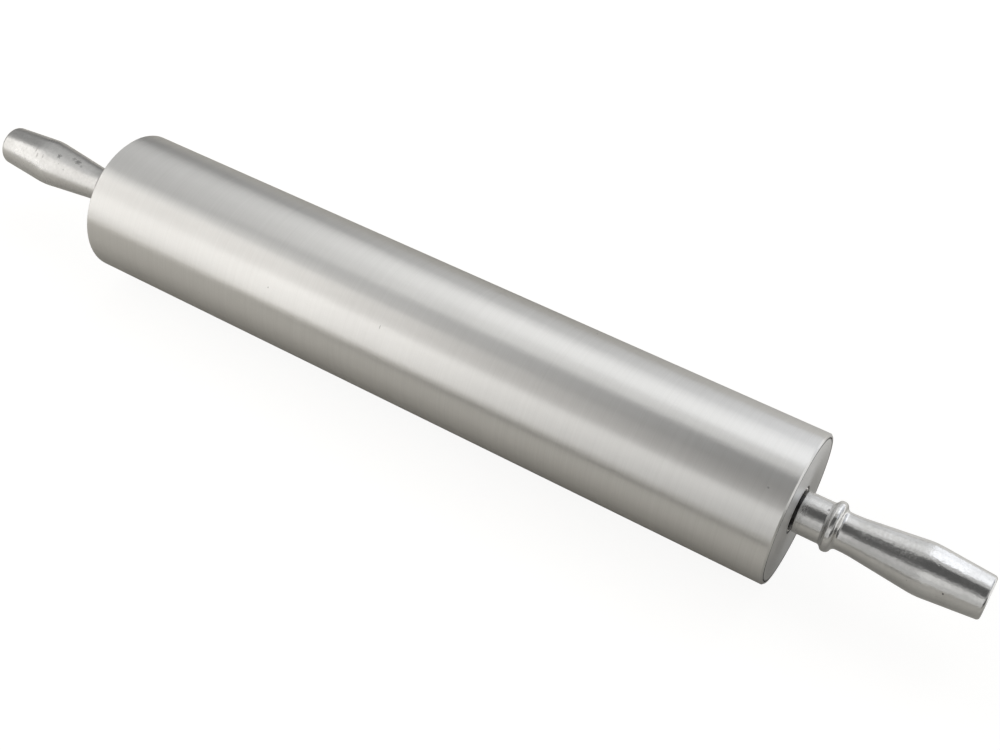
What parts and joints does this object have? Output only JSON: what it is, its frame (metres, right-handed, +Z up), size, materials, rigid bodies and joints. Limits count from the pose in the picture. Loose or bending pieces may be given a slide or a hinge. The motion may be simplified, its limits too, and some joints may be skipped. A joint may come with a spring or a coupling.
{
  "type": "rolling pin",
  "caption": "Aluminium rolling pin with a wide hollow roller that turns on ball bearings between two cast handles.",
  "frame": {"origin": "middle of the roller, on its axis", "axes": "+X along the roller's axis towards the right handle, +Z up, +Y away from the front"},
  "size_m": [0.665, 0.088, 0.088],
  "materials": {
    "satin_roller": "satin",
    "turned_end": "turned",
    "cast_handle": "polished",
    "bearing_steel": "ground",
    "ball_steel": "polished",
    "axle_steel": "turned"
  },
  "bodies": {
    "axle_and_handles": {"axle": "axle_steel", "left_cone": "bearing_steel", "right_cone": "bearing_steel", "left_handle": "cast_handle", "right_handle": "cast_handle"},
    "roller": {"roller_tube": "satin_roller", "left_plug": "turned_end", "right_plug": "turned_end", "left_cup": "bearing_steel", "right_cup": "bearing_steel"},
    "left_ball_ring": {"left_balls": "ball_steel"},
    "right_ball_ring": {"right_balls": "ball_steel"}
  },
  "joints": [
    {"name": "roller_spin", "type": "hinge", "parent": "axle_and_handles", "child": "roller", "pos_m": [0, 0, 0], "axis": [1, 0, 0], "continuous": true},
    {"name": "left_balls_spin", "type": "hinge", "parent": "axle_and_handles", "child": "left_ball_ring", "pos_m": [-0.22736, 0, 0], "axis": [1, 0, 0], "continuous": true},
    {"name": "right_balls_spin", "type": "hinge", "parent": "axle_and_handles", "child": "right_ball_ring", "pos_m": [0.22736, 0, 0], "axis": [1, 0, 0], "continuous": true}
  ],
  "couplings": [
    {"joint": "left_balls_spin", "follows": "roller_spin", "ratio": 0.5348},
    {"joint": "right_balls_spin", "follows": "roller_spin", "ratio": 0.5348}
  ]
}
